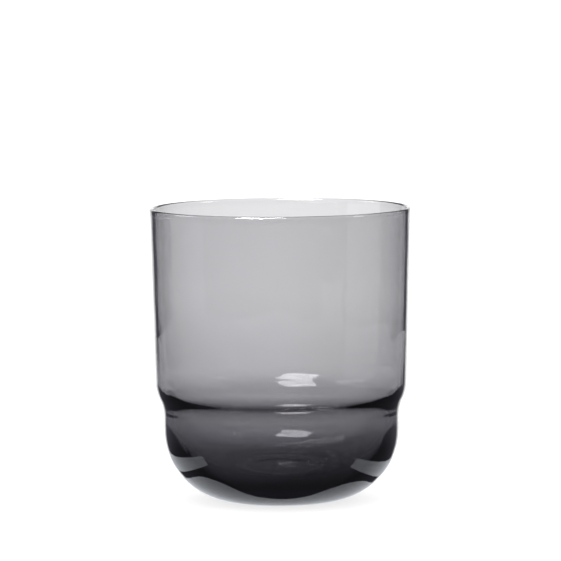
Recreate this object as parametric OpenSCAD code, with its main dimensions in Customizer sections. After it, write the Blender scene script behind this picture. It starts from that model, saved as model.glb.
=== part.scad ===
// A whiskey tumbler with a soft shoulder: one blown piece of smoke-grey glass.
// The origin is the centre of the foot, on the surface that the glass stands on, and +Z is up.
// All sizes are in millimetres.

/* [Overall] */
// Outside diameter across the lip
rim_d = 80; // [70:1:100]
// Overall height
glass_h = 90; // [72:1:120]

/* [Lip] */
// Height of the fire-polished bead that closes the wall
lip_h = 1.8; // [1.4:0.1:3]
// How far the bead stands proud of the wall outside
lip_swell = 0.15; // [0.05:0.05:0.4]

/* [Wall] */
// Thickness of the wall just under the bead
wall_top_t = 1.2; // [0.9:0.1:1.5]
// Thickness of the wall just above the shoulder
wall_low_t = 1.7; // [1.2:0.1:2.4]
// Height from which the wall keeps its upper thickness
thin_wall_z = 62; // [50:1:68]
// How far the wall flares from the shoulder's crest to the bead
wall_flare = 1.35; // [0.5:0.05:3]

/* [Shoulder] */
// Height at which the outside turns out from the cup
shoulder_z = 28.7; // [24:0.1:36]
// Height of the slope between the two turns outside
shoulder_h = 5.1; // [4:0.1:7]
// Rounding of the two turns outside
shoulder_round = 13; // [6:0.5:18]
// Height of the slope between the two turns inside
inner_slope_h = 4.1; // [3:0.1:6]
// How far the upper turn inside lies above the one outside
inner_turn_rise = 0.4; // [0:0.1:2]
// Rounding of the two turns inside
inner_turn_round = 7; // [2:0.5:12]
// How far the cup is set in from the shoulder's crest
shoulder_step = 2.4; // [1.6:0.1:4]

/* [Cup] */
// Thickness of the cup's side under the shoulder
cup_t = 2.9; // [2.4:0.1:4.5]
// Thickness of the cup's side where it turns into the floor
cup_low_t = 3.3; // [2.4:0.1:5]
// Draft of the cup's side, from the top of its corner to the shoulder
cup_draft = 0.1; // [0:0.1:0.6]
// Outside rounding from the side into the foot
corner_round = 22; // [12:0.5:24]
// Inside rounding from the side into the floor
bowl_round = 18.5; // [10:0.5:22]

/* [Base] */
// Thickness of the glass in the middle of the base, over the hollow of the foot
base_t = 6.2; // [5:0.1:12]
// Diameter of the flat disc pressed into the floor
disc_d = 30.8; // [20:0.2:36]
// How far the floor rises from the disc to the side
floor_rise = 1; // [0.4:0.1:2]
// Depth of the hollow under the foot
punt_h = 0.8; // [0.3:0.1:2]
// Width of the flat ring that the glass stands on
foot_w = 2.5; // [1:0.1:5]

/* [Hidden] */
$fn = 180;

// Largest turn between two neighbouring points of a rounded corner, in degrees
arc_step = 5;

// Outside of the bead, and the mouth inside it
rim_r = rim_d / 2;
// Outside of the wall where the bead starts, and the mouth, straight up from its inside
wall_r = rim_r - lip_swell;
mouth_r = wall_r - wall_top_t;
// Outside of the shoulder's crest and of the cup
crest_r = wall_r - wall_flare;
cup_r = crest_r - shoulder_step;
// The cup's side is this much narrower at its lower end
cup_low_r = cup_r - cup_draft;
// The ring that the glass stands on ends where the corner starts
foot_r = cup_low_r - corner_round;
foot_in_r = foot_r - foot_w;

// Heights of the bead's lower end, of the shoulder's crest and of the floor
lip_z = glass_h - lip_h;
crest_z = shoulder_z + shoulder_h;
floor_z = punt_h + base_t;
// Heights of the two turns inside the shoulder
inner_crest_z = crest_z + inner_turn_rise;
inner_shoulder_z = inner_crest_z - inner_slope_h;
// The bead blends into the wall over this part of its own height, and its top is round
lip_blend = 0.3 * lip_h;
lip_round = (rim_r - mouth_r) / 2;
// Rounding of the faint bend where the inside of the wall starts to thicken
thin_wall_round = 200;
// Rounding of the edge of the floor's disc
disc_edge_round = 1;

// Outside of the wall at height z, between the shoulder's crest and the bead
function wall_outside(z) =
  crest_r + (wall_r - crest_r) * (z - crest_z) / (lip_z - lip_blend - crest_z);

// The section of the glass, from the axis under the foot, up the outside,
// over the lip and down the inside to the axis again.
// Each corner is [distance from the axis, height, rounding].
section = [
  // hollow under the foot, and the ring it stands on
  [0, punt_h, 0],
  [foot_in_r / 2, punt_h, foot_in_r],
  [foot_in_r, 0, foot_w / 2],
  // outside of the cup and the shoulder
  [cup_low_r, 0, corner_round],
  [cup_r, shoulder_z, shoulder_round],
  [crest_r, crest_z, shoulder_round],
  // outside of the bead and its top
  [wall_r, lip_z - lip_blend, lip_h],
  [rim_r, lip_z + lip_blend, lip_h],
  [rim_r, glass_h, lip_round],
  [mouth_r, glass_h, lip_round],
  // inside of the wall, the shoulder, the cup and the floor
  [wall_outside(thin_wall_z) - wall_top_t, thin_wall_z, thin_wall_round],
  [wall_outside(inner_crest_z) - wall_low_t, inner_crest_z, inner_turn_round],
  [cup_r - cup_t, inner_shoulder_z, inner_turn_round],
  [cup_low_r - cup_low_t, floor_z + floor_rise, bowl_round],
  [disc_d / 2, floor_z, disc_edge_round],
  [0, floor_z, 0],
];

corner_count = len(section);

// A corner's position, counted round the section
function corner(i) =
  let (c = section[(i + corner_count) % corner_count])
  [c[0], c[1]];

function direction(from, to) = (to - from) / norm(to - from);

// Half of the angle inside corner i
function half_angle(i) =
  acos(direction(corner(i), corner(i - 1)) * direction(corner(i), corner(i + 1))) / 2;

// How far the rounding of corner i reaches along its two edges
function wanted_reach(i) = section[(i + corner_count) % corner_count][2] / tan(half_angle(i));

// Two roundings that meet on one edge share it
function edge_share(i) =
  let (wanted = wanted_reach(i) + wanted_reach(i + 1))
  wanted > norm(corner(i + 1) - corner(i)) ? norm(corner(i + 1) - corner(i)) / wanted : 1;

function turned(v, angle) = [
  v[0] * cos(angle) - v[1] * sin(angle),
  v[0] * sin(angle) + v[1] * cos(angle),
];

// The points of corner i: an arc that touches both of its edges
function rounded(i) =
  section[i][2] == 0 ? [corner(i)] :
  let (
    half = half_angle(i),
    reach = wanted_reach(i) * min(edge_share(i - 1), edge_share(i)),
    back = direction(corner(i), corner(i - 1)),
    ahead = direction(corner(i), corner(i + 1)),
    radius = reach * tan(half),
    centre = corner(i) + direction([0, 0], back + ahead) * radius / sin(half),
    start = corner(i) + back * reach - centre,
    turn = sign(cross(ahead, back)) * (180 - 2 * half),
    steps = ceil(abs(turn) / arc_step)
  )
  [for (k = [0 : steps]) centre + turned(start, turn * k / steps)];

module glass_body() {
  color([0.36, 0.35, 0.38, 0.45])
    rotate_extrude()
      polygon([for (i = [0 : corner_count - 1]) each rounded(i)]);
}

glass_body();
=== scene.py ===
import math

import bmesh
import bpy
from mathutils import Matrix, Vector


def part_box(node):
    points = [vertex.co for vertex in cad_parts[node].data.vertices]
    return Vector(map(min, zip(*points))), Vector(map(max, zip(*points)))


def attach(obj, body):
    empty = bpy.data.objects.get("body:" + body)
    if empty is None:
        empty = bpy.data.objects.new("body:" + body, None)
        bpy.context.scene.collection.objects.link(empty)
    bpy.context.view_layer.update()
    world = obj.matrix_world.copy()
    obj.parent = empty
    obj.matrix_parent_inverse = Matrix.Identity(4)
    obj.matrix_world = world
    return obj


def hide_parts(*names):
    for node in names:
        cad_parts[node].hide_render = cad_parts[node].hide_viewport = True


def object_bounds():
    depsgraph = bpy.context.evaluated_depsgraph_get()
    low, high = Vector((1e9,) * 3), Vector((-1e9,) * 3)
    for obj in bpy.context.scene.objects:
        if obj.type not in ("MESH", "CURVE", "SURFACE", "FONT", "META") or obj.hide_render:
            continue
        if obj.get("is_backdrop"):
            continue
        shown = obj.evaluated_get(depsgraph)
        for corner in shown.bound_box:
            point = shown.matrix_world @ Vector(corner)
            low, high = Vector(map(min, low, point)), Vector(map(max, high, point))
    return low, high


bl_info = {
    "name": "Shouldered Tumbler",
    "version": (1, 0, 0),
    "blender": (4, 5, 0),
    "location": "View3D > Sidebar > Tumbler",
    "description": "A whiskey tumbler of smoke-grey glass with a soft shoulder, on its light table",
    "category": "Add Mesh",
}

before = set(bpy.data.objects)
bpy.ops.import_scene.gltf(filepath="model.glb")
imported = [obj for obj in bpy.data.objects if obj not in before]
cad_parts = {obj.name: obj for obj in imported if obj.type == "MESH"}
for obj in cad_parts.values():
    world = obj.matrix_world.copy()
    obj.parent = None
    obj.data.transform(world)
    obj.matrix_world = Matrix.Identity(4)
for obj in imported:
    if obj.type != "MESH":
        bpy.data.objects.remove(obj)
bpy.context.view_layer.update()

NODE = "glass_body"
BODY = "root"
LOW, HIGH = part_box(NODE)
RIM_R = HIGH.x
GLASS_H = HIGH.z - LOW.z

# Turns about this axis run from +X towards +Z, as the section is drawn
SECTION_AXIS = (0, -1, 0)
# Points closer than this are one point
WELD = 1e-6
# Share of the bead's height over which it blends into the wall
LIP_BLEND = 0.3
# Rounding of the faint bend where the wall starts to thicken, and of the edge of the floor's disc
THIN_WALL_ROUND = 0.2
DISC_EDGE_ROUND = 0.001

# The table: half of its side, its grey, and the glow that lights the glass from below
TABLE_HALF = 15
TABLE_GREY = (0.35, 0.35, 0.35)
TABLE_GLOW = 2.2

# The dark screens, or flags: how far from the glass, the height of their top, and the step of their curve
SCREEN_AWAY = 0.38
SCREEN_TOP = 0.35
SCREEN_STEP = math.radians(3)
SCREEN_BLACK = (0.02, 0.02, 0.02)
# Where each screen starts and ends, in degrees clockwise from the back as seen from above, and the height
# of its foot
SCREENS = {
    "right": (21.5, 124, 0.0005),
    "raised": (124, 146, 0.026),
    "front": (146, 248.5, 0.0005),
    "left": (291.5, 338.5, 0.0005),
}

# Glowing boards on the table, met only in reflection, paint the lit table into the base, and the gaps
# between and in front of them paint the glass's shadow there: their glow tint, their share of the
# surround's brightness, height and back edge
BOARD_GLOW_TINT = (0.90, 0.93, 1.0)
BOARD_SHARE = 0.8
BOARD_Z = 0.0003
BOARD_BACK = 0.06
# Steps of a rounded corner of a board
BOARD_STEPS = 6
# The left and right end and the front edge of each board, and the rounding of its front corners
BOARDS = {
    "left": (-0.0580, -0.0405, -0.0255, 0),
    "middle": (-0.0352, 0.0312, -0.0242, 0.018),
    "right": (0.0355, 0.0500, -0.0275, 0),
}

# Where each softbox stands, its width and height, and its power in watts
SOFTBOXES = {
    "key_softbox": ((-0.45, -0.95, 1.05), (0.8, 1.7), 130),
    "side_strip": ((1.1, -0.35, 0.45), (0.25, 0.8), 4),
    "back_window": ((-1.2, 0.1, 0.5), (0.5, 0.6), 5),
}

# The room that the glass mirrors: its tint, and the way its window lies, as shares of X and Y
ROOM_TINT = (0.94, 0.91, 1.12)
WINDOW_WAY = (-0.6, -0.8)

# Where each change in that room starts and ends, as the part of a ray's direction, from -1 to 1, that
# points to the window, up, and to the white backdrop behind
WINDOW_BAND = (0.1, 0.9)
HORIZON_BAND = (-0.35, -0.05)
BACKDROP_BAND = (0.89, 0.95)

PAINT_ROUGHNESS = 0.9
CAMERA_CLIP_END = 100
# How often light may pass from glass to air and back
GLASS_BOUNCES = 24


def length(name, description, default, low=0.0, high=0.2):
    """A size in metres, shown in the scene's own length unit."""
    return bpy.props.FloatProperty(
        name=name,
        description=description,
        default=default,
        min=low,
        max=high,
        precision=5,
        unit="LENGTH",
    )


def amount(name, description, default, high, low=0.0):
    """A plain number."""
    return bpy.props.FloatProperty(name=name, description=description, default=default, min=low, max=high)


def degrees(name, description, default, low, high):
    """An angle, given here in degrees."""
    return bpy.props.FloatProperty(
        name=name,
        description=description,
        default=math.radians(default),
        min=math.radians(low),
        max=math.radians(high),
        subtype="ANGLE",
    )


class TumblerSizes(bpy.types.PropertyGroup):
    """The section of the glass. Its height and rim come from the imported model."""

    lip_h: length("Lip height", "Height of the fire-polished bead", 0.0018)
    lip_swell: length("Lip swell", "How far the bead stands proud of the wall", 0.00015)
    wall_top_t: length("Upper wall", "Thickness of the wall under the bead", 0.0012)
    wall_low_t: length("Lower wall", "Thickness of the wall above the shoulder", 0.0017)
    thin_wall_z: length("Thin from", "Height from which the wall keeps its upper thickness", 0.062)
    shoulder_z: length("Shoulder", "Height at which the outside turns out from the cup", 0.0287)
    shoulder_h: length("Shoulder slope", "Height of the slope outside", 0.0051)
    shoulder_round: length("Shoulder rounding", "Rounding of the two turns outside", 0.013)
    inner_slope_h: length("Inner slope", "Height of the slope inside", 0.0041)
    inner_turn_rise: length("Inner rise", "How far the inside turns above the outside", 0.0004)
    inner_turn_round: length("Inner rounding", "Rounding of the two turns inside", 0.007)
    wall_flare: length("Wall flare", "How far the wall flares from the shoulder to the bead", 0.00135)
    shoulder_step: length("Shoulder step", "How far the cup is set in from the shoulder", 0.0024)
    cup_t: length("Cup side", "Thickness of the cup's side under the shoulder", 0.0029)
    cup_low_t: length("Cup foot", "Thickness of the cup's side at the floor", 0.0033)
    cup_draft: length("Cup draft", "Draft of the cup's side", 0.0001)
    corner_round: length("Corner", "Outside rounding into the foot", 0.022)
    bowl_round: length("Bowl", "Inside rounding into the floor", 0.0185)
    base_t: length("Base", "Thickness in the middle of the base", 0.0062)
    disc_r: length("Floor disc", "Radius of the flat disc pressed into the floor", 0.0154)
    floor_rise: length("Floor rise", "How far the floor rises from the disc to the side", 0.001)
    punt_h: length("Punt", "Depth of the hollow under the foot", 0.0008)
    foot_w: length("Foot ring", "Width of the ring that the glass stands on", 0.0025)
    segments: bpy.props.IntProperty(
        name="Segments", description="Steps round the glass", default=288, min=32, max=512
    )
    arc_step: degrees("Arc step", "Largest turn between two points of a rounding", 4, 1, 30)


class TumblerFinish(bpy.types.PropertyGroup):
    """What the glass is made of."""

    through: bpy.props.FloatVectorProperty(
        name="Smoke tint",
        description="What light the glass lets through, per colour",
        default=(0.333, 0.329, 0.357),
        min=0.0,
        max=1.0,
        size=3,
        subtype="COLOR",
    )
    density: amount("Smoke density", "Absorption per metre of glass", 468.0, 2000.0)
    ior: amount("Refraction", "Index of refraction", 1.5, 2.0, low=1.0)
    wave_scale: amount("Wave scale", "Waves of the surface per metre", 45.0, 500.0, low=1.0)
    wave_h: length("Wave height", "Height of the broad waves that blowing leaves", 0.00035, 0.0, 0.001)
    line_scale: amount("Line scale", "Draw lines per metre round the glass", 420.0, 5000.0, low=1.0)
    line_stretch: amount("Line stretch", "Share of the line scale along the height", 0.04, 1.0, low=0.001)
    line_h: length("Line height", "Height of the draw lines", 0.00002, 0.0, 0.0001)
    worn_h: length("Worn height", "How far up the foot is worn", 0.0006, 0.0, 0.01)
    wear: amount("Wear", "Roughness of the worn ring of the foot", 0.45, 1.0)
    scratch_scale: amount("Scratch scale", "Scratches per metre", 3500.0, 10000.0, low=1.0)


class TumblerStage(bpy.types.PropertyGroup):
    """How bright the studio is, and where the camera stands."""

    white: amount("Surround", "Brightness of the white surround", 1.4, 10.0)
    dusk: amount("Room", "Brightness of the room that the glass mirrors", 0.2, 10.0)
    window: amount("Window", "Brightness of the window side of that room", 0.8, 10.0)
    floor_dusk: amount("Below", "Share of that brightness below the horizon", 0.4, 1.0)
    camera_away: length("Camera distance", "From the middle of the glass to the camera", 1.3, 0.2, 5.0)
    camera_up: degrees("Camera elevation", "Angle above the horizon", 6.2, 0, 89)
    camera_aim: degrees("Camera aim", "How far above the middle of the glass the camera looks", 0.986, 0, 5)
    camera_roll: degrees("Camera roll", "How far the camera leans to one side", -0.41, -5, 5)
    camera_lens: amount("Camera lens", "Focal length in millimetres", 271.9, 600.0, low=20.0)


def flat(corner):
    """A corner's place in the section, with its distance from the axis along X."""
    return Vector((corner[0], 0, corner[1]))


def section_corners(s):
    """Every corner of the section as (distance from the axis, height, rounding)."""
    wall_r = RIM_R - s.lip_swell
    mouth_r = wall_r - s.wall_top_t
    crest_r = wall_r - s.wall_flare
    cup_r = crest_r - s.shoulder_step
    lip_round = (RIM_R - mouth_r) / 2
    cup_low_r = cup_r - s.cup_draft
    foot_in_r = cup_low_r - s.corner_round - s.foot_w
    lip_z = GLASS_H - s.lip_h
    crest_z = s.shoulder_z + s.shoulder_h
    floor_z = s.punt_h + s.base_t
    inner_crest_z = crest_z + s.inner_turn_rise
    blend = LIP_BLEND * s.lip_h

    def wall_outside(z):
        """Outside of the wall at height z, between the shoulder's crest and the bead."""
        return crest_r + (wall_r - crest_r) * (z - crest_z) / (lip_z - blend - crest_z)

    return [
        # the hollow under the foot and the ring round it
        (0, s.punt_h, 0),
        (foot_in_r / 2, s.punt_h, foot_in_r),
        (foot_in_r, 0, s.foot_w / 2),
        # outside of the cup and the shoulder
        (cup_low_r, 0, s.corner_round),
        (cup_r, s.shoulder_z, s.shoulder_round),
        (crest_r, crest_z, s.shoulder_round),
        # the bead
        (wall_r, lip_z - blend, s.lip_h),
        (RIM_R, lip_z + blend, s.lip_h),
        (RIM_R, GLASS_H, lip_round),
        (mouth_r, GLASS_H, lip_round),
        # inside of the wall, the shoulder and the cup
        (wall_outside(s.thin_wall_z) - s.wall_top_t, s.thin_wall_z, THIN_WALL_ROUND),
        (wall_outside(inner_crest_z) - s.wall_low_t, inner_crest_z, s.inner_turn_round),
        (cup_r - s.cup_t, inner_crest_z - s.inner_slope_h, s.inner_turn_round),
        (cup_low_r - s.cup_low_t, floor_z + s.floor_rise, s.bowl_round),
        (s.disc_r, floor_z, DISC_EDGE_ROUND),
        (0, floor_z, 0),
    ]


def draw_section(bm, corners, arc_step):
    """Draws the section as edges: each rounding is its first point, spun about its centre."""
    places = [flat(c) for c in corners]
    count = len(corners)

    def wanted_reach(i):
        """How far a rounding reaches along its two edges."""
        rounding = corners[i][2]
        return rounding / math.tan(half_angle(i)) if rounding else 0.0

    def half_angle(i):
        """Half of the angle inside a corner."""
        return (places[i - 1] - places[i]).angle(places[(i + 1) % count] - places[i]) / 2

    def edge_share(i):
        """Two roundings that meet on one edge share it."""
        after = (i + 1) % count
        wanted = wanted_reach(i % count) + wanted_reach(after)
        room = (places[after] - places[i]).length
        return room / wanted if wanted > room else 1.0

    last = None
    for i, corner in enumerate(corners):
        if not corner[2]:
            ends = [bm.verts.new(places[i])]
        else:
            half = half_angle(i)
            reach = wanted_reach(i) * min(edge_share(i - 1), edge_share(i))
            back = (places[i - 1] - places[i]).normalized()
            ahead = (places[(i + 1) % count] - places[i]).normalized()
            centre = places[i] + (back + ahead).normalized() * reach / math.cos(half)
            turn = math.copysign(math.pi - 2 * half, ahead.x * back.z - ahead.z * back.x)
            start = bm.verts.new(places[i] + back * reach)
            arc = bmesh.ops.spin(
                bm,
                geom=[start],
                cent=centre,
                axis=SECTION_AXIS,
                angle=turn,
                steps=max(2, math.ceil(abs(turn) / arc_step)),
            )
            ends = [start, arc["geom_last"][0]]
        if last:
            bm.edges.new((last, ends[0]))
        last = ends[-1]


def new_piece(name, bm, material):
    """A mesh object at the origin, its place in its mesh."""
    mesh = bpy.data.meshes.new(name)
    bm.to_mesh(mesh)
    bm.free()
    mesh.materials.append(material)
    piece = bpy.data.objects.new(name, mesh)
    bpy.context.scene.collection.objects.link(piece)
    return piece


class Socket:
    """A node's output that can be used in sums: a mask times a height adds its Math node."""

    def __init__(self, tree, output=None):
        self.tree = tree
        self.output = output

    def node(self, kind, output=0, settings=None, **inputs):
        """Adds a node: its settings first, then the values or links of its sockets. Hands on one output."""
        made = self.tree.nodes.new(kind)
        for key, value in (settings or {}).items():
            setattr(made, key, value)
        for key, value in inputs.items():
            socket = made.inputs[int(key[1:]) if key[0] == "_" else key.replace("_", " ")]
            if isinstance(value, Socket):
                self.tree.links.new(value.output, socket)
            else:
                socket.default_value = value
        return Socket(self.tree, made.outputs[output] if made.outputs else None)

    def math(self, operation, *values):
        """One Math node on this tree."""
        places = {f"_{i}": value for i, value in enumerate(values)}
        return self.node("ShaderNodeMath", 0, {"operation": operation}, **places)

    def axis(self, name):
        """The X, Y or Z part of a vector."""
        return self.node("ShaderNodeSeparateXYZ", name, Vector=self)

    def ranged(self, low, high, at_low, at_high, easing="LINEAR"):
        """Runs from at_low to at_high while this value runs from low to high."""
        return self.node(
            "ShaderNodeMapRange",
            "Result",
            {"interpolation_type": easing},
            Value=self,
            From_Min=low,
            From_Max=high,
            To_Min=at_low,
            To_Max=at_high,
        )

    def __add__(self, other):
        return self.math("ADD", self, other)

    __radd__ = __add__

    def __sub__(self, other):
        return self.math("SUBTRACT", self, other)

    def __rsub__(self, other):
        return self.math("SUBTRACT", other, self)

    def __mul__(self, other):
        return self.math("MULTIPLY", self, other)

    __rmul__ = __mul__


def blank_material(name):
    """A material with an empty tree."""
    material = bpy.data.materials.new(name)
    material.use_nodes = True
    material.node_tree.nodes.clear()
    return material, Socket(material.node_tree)


def smoke_glass(finish):
    """Smoke-grey glass that darkens with its thickness, with the waves, lines and wear of a blown piece."""
    material, tree = blank_material("smoke_glass")
    place = tree.node("ShaderNodeTexCoord", "Object")

    # Broad waves all over, left by the blowing
    waves = tree.node("ShaderNodeTexNoise", "Fac", Vector=place, Scale=finish.wave_scale, Detail=1.0)
    # Fine lines up the side, drawn out as the glass was turned in its mould
    drawn = tree.node("ShaderNodeMapping", "Vector", Vector=place, Scale=(1, 1, finish.line_stretch))
    lines = tree.node("ShaderNodeTexNoise", "Fac", Vector=drawn, Scale=finish.line_scale, Detail=2.0)
    height = finish.wave_h * waves + finish.line_h * lines
    relief = tree.node("ShaderNodeBump", "Normal", Strength=1.0, Distance=1.0, Height=height)

    # The ring that the glass stands on is worn to a satin by fine scratches
    low = place.axis("Z").ranged(0.0, finish.worn_h, 1.0, 0.0)
    scratches = tree.node("ShaderNodeTexNoise", "Fac", Vector=place, Scale=finish.scratch_scale, Detail=4.0)

    surface = tree.node(
        "ShaderNodeBsdfPrincipled",
        Base_Color=(1, 1, 1, 1),
        Roughness=low * scratches * finish.wear,
        IOR=finish.ior,
        Transmission_Weight=1.0,
        Normal=relief,
    )
    smoke = tree.node("ShaderNodeVolumeAbsorption", Color=(*finish.through, 1), Density=finish.density)
    tree.node("ShaderNodeOutputMaterial", Surface=surface, Volume=smoke)
    return material


def paint(name, colour, glow=0.0):
    """A matt paint, which may glow by itself."""
    material, tree = blank_material(name)
    surface = tree.node(
        "ShaderNodeBsdfPrincipled",
        Base_Color=(*colour, 1),
        Roughness=PAINT_ROUGHNESS,
        Specular_IOR_Level=0.0,
        Emission_Color=(*colour, 1),
        Emission_Strength=glow,
    )
    tree.node("ShaderNodeOutputMaterial", Surface=surface)
    return material


def glowing(name, colour, strength):
    """A panel that gives light and takes none."""
    material, tree = blank_material(name)
    glow = tree.node("ShaderNodeEmission", Color=(*colour, 1), Strength=strength)
    tree.node("ShaderNodeOutputMaterial", Surface=glow)
    return material


def seen_by(piece, glossy=False, transmission=False):
    """Hides a panel of the stage from all rays but mirrored ones, or those that pass through the glass."""
    piece.visible_camera = False
    piece.visible_diffuse = False
    piece.visible_glossy = glossy
    piece.visible_transmission = transmission
    piece.visible_shadow = False


class TUMBLER_OT_glass(bpy.types.Operator):
    """Makes the one piece of glass: a rounded section, spun about the axis"""

    bl_idname = "tumbler.glass"
    bl_label = "Glass"

    def execute(self, context):
        scene = context.scene
        sizes = scene.tumbler_sizes
        bm = bmesh.new()
        draw_section(bm, section_corners(sizes), sizes.arc_step)
        bmesh.ops.spin(
            bm,
            geom=bm.verts[:] + bm.edges[:],
            cent=(0, 0, 0),
            axis=(0, 0, 1),
            angle=2 * math.pi,
            steps=sizes.segments,
            use_merge=True,
        )
        bmesh.ops.remove_doubles(bm, verts=bm.verts, dist=WELD)
        bmesh.ops.recalc_face_normals(bm, faces=bm.faces)
        for face in bm.faces:
            face.smooth = True
        glass = new_piece("tumbler_glass", bm, smoke_glass(scene.tumbler_finish))
        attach(glass, BODY)
        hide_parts(NODE)
        return {"FINISHED"}


def add_floor():
    """A pale table that lights up the glass from below."""
    bm = bmesh.new()
    bmesh.ops.create_grid(bm, x_segments=1, y_segments=1, size=TABLE_HALF)
    floor = new_piece("table", bm, paint("table_white", TABLE_GREY, TABLE_GLOW))
    floor.visible_glossy = False
    floor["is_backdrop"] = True


def add_screens():
    """Dark screens round the table, met only through the glass: they draw its edges."""
    black = paint("flag_black", SCREEN_BLACK)
    for side, (start, end, foot) in SCREENS.items():
        start, end = math.radians(start), math.radians(end)
        bm = bmesh.new()
        corner = bm.verts.new((SCREEN_AWAY * math.sin(start), SCREEN_AWAY * math.cos(start), foot))
        bmesh.ops.spin(
            bm,
            geom=[corner],
            cent=(0, 0, 0),
            axis=(0, 0, -1),
            angle=end - start,
            steps=math.ceil((end - start) / SCREEN_STEP),
        )
        grown = bmesh.ops.extrude_edge_only(bm, edges=bm.edges[:])
        rise = [v for v in grown["geom"] if isinstance(v, bmesh.types.BMVert)]
        bmesh.ops.translate(bm, verts=rise, vec=(0, 0, SCREEN_TOP - foot))
        screen = new_piece(f"flag_{side}", bm, black)
        seen_by(screen, transmission=True)
        screen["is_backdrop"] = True


def add_boards(stage):
    """Glowing boards on the table, met by mirrored rays only: a painted reflection of the lit table, which
    shows as bright facets in the rounded base, with a painted shadow of the glass in their gaps.
    """
    # The boards glow with a share of the surround's white: a painted reflection, not a lit surface
    glow = glowing("painted_reflection_glow", BOARD_GLOW_TINT, stage.white * BOARD_SHARE)
    for side, (left, right, front, rounding) in BOARDS.items():
        centre = ((left + right) / 2, (front + BOARD_BACK) / 2, BOARD_Z)
        bm = bmesh.new()
        bmesh.ops.create_grid(bm, x_segments=1, y_segments=1, size=0.5)
        bmesh.ops.scale(bm, verts=bm.verts, vec=(right - left, BOARD_BACK - front, 1))
        bmesh.ops.translate(bm, verts=bm.verts, vec=centre)
        if rounding:
            bmesh.ops.bevel(
                bm,
                geom=[v for v in bm.verts if v.co.y < 0],
                affect="VERTICES",
                offset=rounding,
                segments=BOARD_STEPS,
                profile=0.5,
                material=-1,
            )
        board = new_piece(f"board_{side}", bm, glow)
        seen_by(board, glossy=True)
        board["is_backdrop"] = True


def add_softbox(name, place, size, power):
    """A rectangular softbox that faces the glass, which mirrors it as a bright window."""
    lamp = bpy.data.lights.new(name, "AREA")
    lamp.shape = "RECTANGLE"
    lamp.size, lamp.size_y = size
    lamp.energy = power
    box = bpy.data.objects.new(name, lamp)
    bpy.context.scene.collection.objects.link(box)
    facing = Vector((0, 0, GLASS_H / 2)) - Vector(place)
    box.matrix_world = Matrix.LocRotScale(place, facing.to_track_quat("-Z", "Y"), None)
    seen_by(box, glossy=True)


def add_surround(stage):
    """A white surround, which the glass mirrors as a dim room with a window side."""
    world = bpy.data.worlds.new("surround")
    bpy.context.scene.world = world
    world.use_nodes = True
    world.node_tree.nodes.clear()
    tree = Socket(world.node_tree)
    way = tree.node("ShaderNodeTexCoord", "Generated")

    # The room is brighter towards its window, and darker below the horizon
    side = WINDOW_WAY[0] * way.axis("X") + WINDOW_WAY[1] * way.axis("Y")
    window = side.ranged(*WINDOW_BAND, stage.dusk, stage.window, "SMOOTHSTEP")
    above = way.axis("Z").ranged(*HORIZON_BAND, stage.floor_dusk, 1.0, "SMOOTHSTEP")
    room = tree.node("ShaderNodeBackground", Color=(*ROOM_TINT, 1), Strength=window * above)
    # The backdrop stays white, and the grazing edges of the glass mirror it as a light outline
    front = way.axis("Y").ranged(*BACKDROP_BAND, 1.0, 0.0, "SMOOTHSTEP")
    white = tree.node("ShaderNodeBackground", Color=(1, 1, 1, 1), Strength=stage.white)

    # Light that comes through the glass counts as glossy too, so only what is mirrored meets the room
    glossy = tree.node("ShaderNodeLightPath", "Is Glossy Ray")
    through = tree.node("ShaderNodeLightPath", "Is Transmission Ray")
    seen = tree.node("ShaderNodeMixShader", _0=glossy * (1 - through) * front, _1=white, _2=room)
    tree.node("ShaderNodeOutputWorld", Surface=seen)


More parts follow.
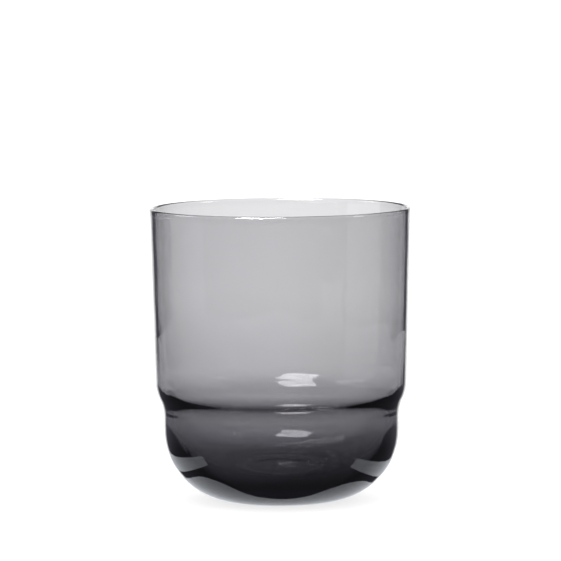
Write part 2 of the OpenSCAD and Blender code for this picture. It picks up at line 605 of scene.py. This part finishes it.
def add_camera(stage):
    """A long lens, a little above the rim, aimed over the glass so that it stands low in the picture."""
    low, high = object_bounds()
    centre = (low + high) / 2
    camera = bpy.data.cameras.new("camera")
    camera.lens = stage.camera_lens
    camera.clip_end = CAMERA_CLIP_END
    up = stage.camera_up
    place = centre + Vector((0, -math.cos(up), math.sin(up))) * stage.camera_away
    tilt = Matrix.Rotation(math.pi / 2 - up + stage.camera_aim, 4, "X")
    roll = Matrix.Rotation(stage.camera_roll, 4, "Z")
    holder = bpy.data.objects.new("camera", camera)
    bpy.context.scene.collection.objects.link(holder)
    holder.matrix_world = Matrix.LocRotScale(place, (tilt @ roll).to_quaternion(), None)
    bpy.context.scene.camera = holder


class TUMBLER_OT_stage(bpy.types.Operator):
    """Makes the table, the screens and boards on it, the surround, the lights and the camera"""

    bl_idname = "tumbler.stage"
    bl_label = "Stage"

    def execute(self, context):
        scene = context.scene
        stage = scene.tumbler_stage
        add_floor()
        add_screens()
        add_boards(stage)
        add_surround(stage)
        for name, (place, size, power) in SOFTBOXES.items():
            add_softbox(name, place, size, power)
        add_camera(stage)
        scene.view_settings.view_transform = "Standard"
        scene.cycles.max_bounces = GLASS_BOUNCES
        scene.cycles.transmission_bounces = GLASS_BOUNCES
        return {"FINISHED"}


class TUMBLER_PT_panel(bpy.types.Panel):
    """The tumbler's sizes, finish and stage"""

    bl_label = "Tumbler"
    bl_idname = "TUMBLER_PT_panel"
    bl_space_type = "VIEW_3D"
    bl_region_type = "UI"
    bl_category = "Tumbler"

    def draw(self, context):
        scene = context.scene
        for group, operator in (
            (scene.tumbler_sizes, TUMBLER_OT_glass),
            (scene.tumbler_finish, None),
            (scene.tumbler_stage, TUMBLER_OT_stage),
        ):
            box = self.layout.box()
            for name in group.__annotations__:
                box.prop(group, name)
            if operator:
                box.operator(operator.bl_idname)


CLASSES = (
    TumblerSizes,
    TumblerFinish,
    TumblerStage,
    TUMBLER_OT_glass,
    TUMBLER_OT_stage,
    TUMBLER_PT_panel,
)


def register():
    for cls in CLASSES:
        bpy.utils.register_class(cls)
    bpy.types.Scene.tumbler_sizes = bpy.props.PointerProperty(type=TumblerSizes)
    bpy.types.Scene.tumbler_finish = bpy.props.PointerProperty(type=TumblerFinish)
    bpy.types.Scene.tumbler_stage = bpy.props.PointerProperty(type=TumblerStage)


def unregister():
    del bpy.types.Scene.tumbler_stage
    del bpy.types.Scene.tumbler_finish
    del bpy.types.Scene.tumbler_sizes
    for cls in reversed(CLASSES):
        bpy.utils.unregister_class(cls)


def main():
    register()
    bpy.ops.tumbler.glass()
    bpy.ops.tumbler.stage()


if __name__ == "__main__":
    main()
